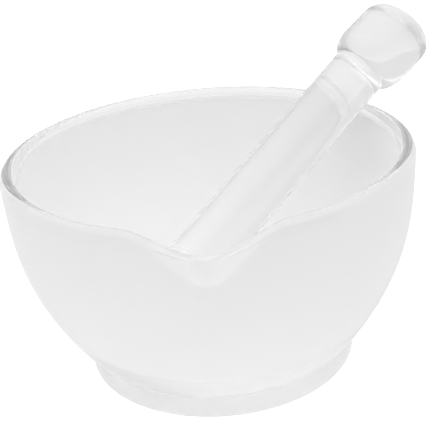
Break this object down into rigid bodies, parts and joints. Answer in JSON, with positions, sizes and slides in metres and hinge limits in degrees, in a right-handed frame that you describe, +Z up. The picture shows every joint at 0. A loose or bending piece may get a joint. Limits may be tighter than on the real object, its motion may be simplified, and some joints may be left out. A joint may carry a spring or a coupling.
{
  "type": "mortar and pestle",
  "caption": "Pressed glass mortar with a ground bowl, rounded rim, pouring spout and solid foot, and a solid glass pestle with a grinding bulb and a hand knob leaning on the rim.",
  "frame": {"origin": "centre of the foot's flat underside, on the surface the mortar stands on", "axes": "+Z up along the bowl's axis, -Y towards the pouring spout, +X to the right seen from the spout; the pestle leans towards +X and +Y"},
  "size_m": [0.1082, 0.1034, 0.0802],
  "materials": {
    "mortar_glass": "colourless pressed glass, fire-polished outside and rim, ground matt inside the bowl",
    "pestle_glass": "colourless solid glass, knob and shaft as moulded and a little dull, bulb ground matt"
  },
  "bodies": {
    "mortar": {"mortar": "mortar_glass"},
    "pestle": {"pestle": "pestle_glass"}
  },
  "joints": [
    {"name": "pestle_stir", "type": "hinge", "parent": "mortar", "child": "pestle", "pos_m": [0, 0, 0], "axis": [0, 0, 1], "continuous": true}
  ]
}
